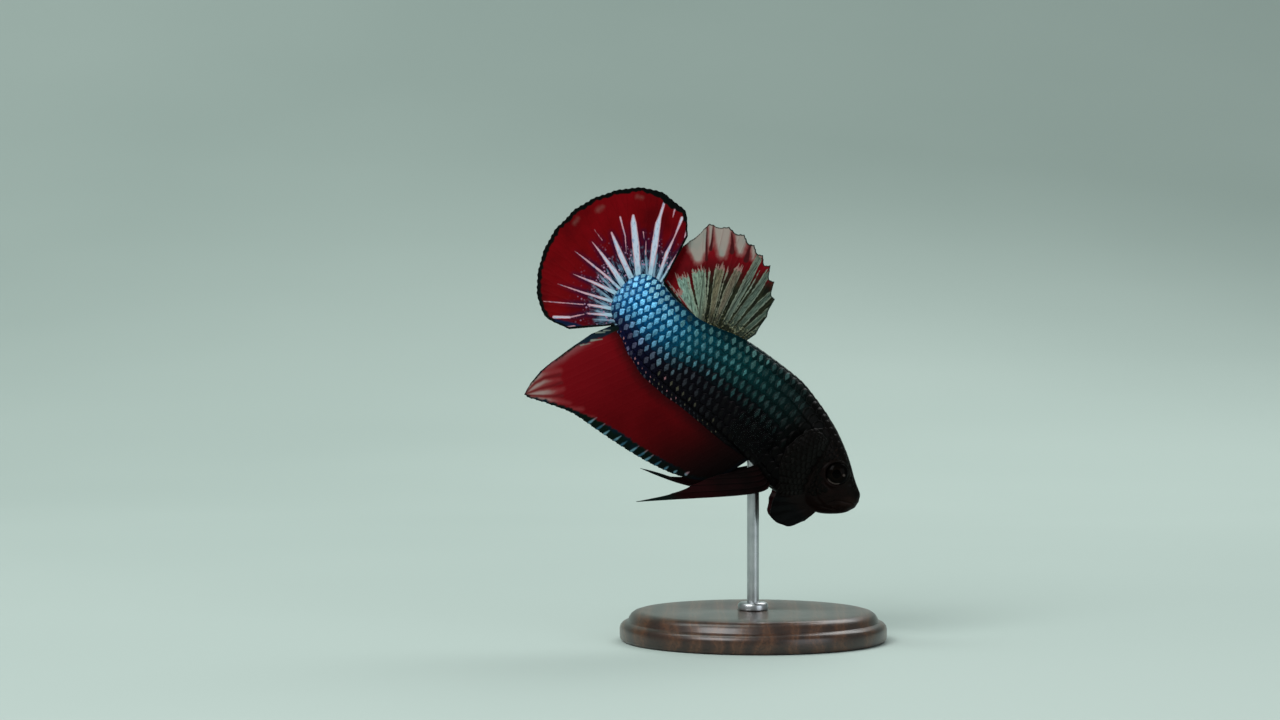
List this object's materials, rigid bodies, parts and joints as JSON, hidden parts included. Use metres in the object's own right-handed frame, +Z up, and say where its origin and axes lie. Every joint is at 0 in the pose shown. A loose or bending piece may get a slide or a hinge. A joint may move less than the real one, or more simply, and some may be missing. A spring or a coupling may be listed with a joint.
{
  "type": "betta fish on a display stand",
  "caption": "Still life-size model of a short-finned male betta fish, head down with spread fins and flared gill covers, on a round stand with a rod.",
  "frame": {"origin": "centre of the underside of the stand's base, on the surface that the stand rests on", "axes": "+Z up, +X the way the snout points, the fish's right side towards -Y"},
  "size_m": [0.0544, 0.04, 0.0679],
  "materials": {
    "dark_head_skin": "moist skin, near black with a brown tint",
    "eye": "wet and glossy, dark iris round a black pupil",
    "dark_teal_scales": "overlapping scales, near black with a teal sheen",
    "teal_scales": "overlapping iridescent teal scales with dark outlines",
    "blue_scales": "overlapping iridescent sky-blue scales with dark outlines",
    "dorsal_fin_web": "thin web, silvery green at the root, red band, pale outer edge, dark rays",
    "red_fin_web": "thin web, blood red with blue-white ray streaks and a black margin",
    "deep_red_fin_web": "thin web, deep red with a dark margin and a pale rear tip",
    "dark_fin_web": "thin web, dark maroon turning black at the tip",
    "clear_fin_web": "clear thin web with fine grey rays",
    "stand_wood": "turned dark wood, satin varnish",
    "stand_steel": "brushed steel"
  },
  "bodies": {
    "root": {"head": "dark_head_skin", "upper_jaw": "dark_head_skin", "lower_jaw": "dark_head_skin", "operculum_left": "dark_head_skin", "operculum_right": "dark_head_skin", "gill_beard_left": "dark_head_skin", "gill_beard_right": "dark_head_skin", "eye_left": "eye", "eye_right": "eye", "trunk_front": "dark_teal_scales", "trunk_rear": "teal_scales", "tail_peduncle": "blue_scales", "dorsal_fin": "dorsal_fin_web", "caudal_fin": "red_fin_web", "anal_fin": "deep_red_fin_web", "pelvic_fin_left": "dark_fin_web", "pelvic_fin_right": "dark_fin_web", "pectoral_fin_left": "clear_fin_web", "pectoral_fin_right": "clear_fin_web", "stand_base": "stand_wood", "stand_collar": "stand_steel", "stand_rod": "stand_steel"}
  },
  "joints": []
}
